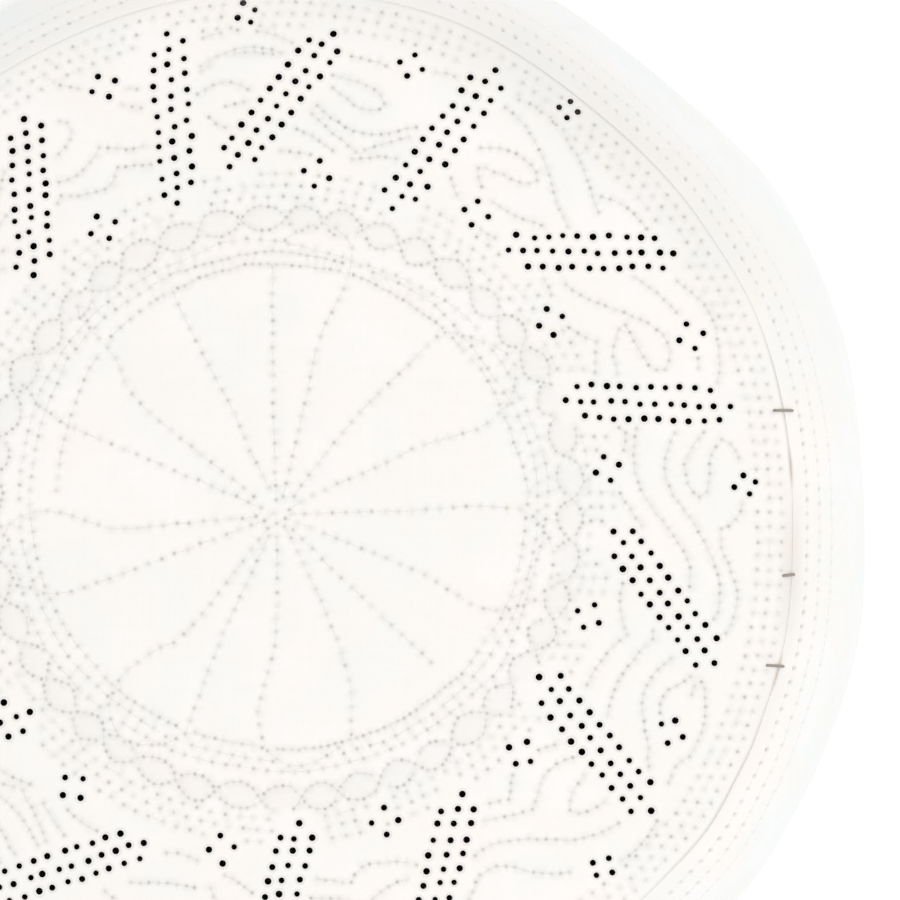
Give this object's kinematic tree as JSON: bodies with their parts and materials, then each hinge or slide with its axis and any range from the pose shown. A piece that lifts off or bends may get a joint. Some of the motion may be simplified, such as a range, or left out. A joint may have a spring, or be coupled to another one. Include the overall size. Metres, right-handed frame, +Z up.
{
  "type": "prayer cap",
  "caption": "Round flat-topped quilted cotton prayer cap with a pierced eyelet crown and a plain side band, open below for the head.",
  "frame": {"origin": "centre of the cap's outline at the bottom of its rim", "axes": "+Z up through the middle of the crown; the head goes in from below; +X is to the right and +Y away from the viewer's bottom edge in the picture, which looks down on the crown"},
  "size_m": [0.1872, 0.1892, 0.088],
  "materials": {
    "crown_cotton": "white quilted cotton with stitched relief and worked eyelets",
    "band_cotton": "white quilted cotton"
  },
  "bodies": {
    "root": {"crown": "crown_cotton", "side_band": "band_cotton"}
  },
  "joints": []
}
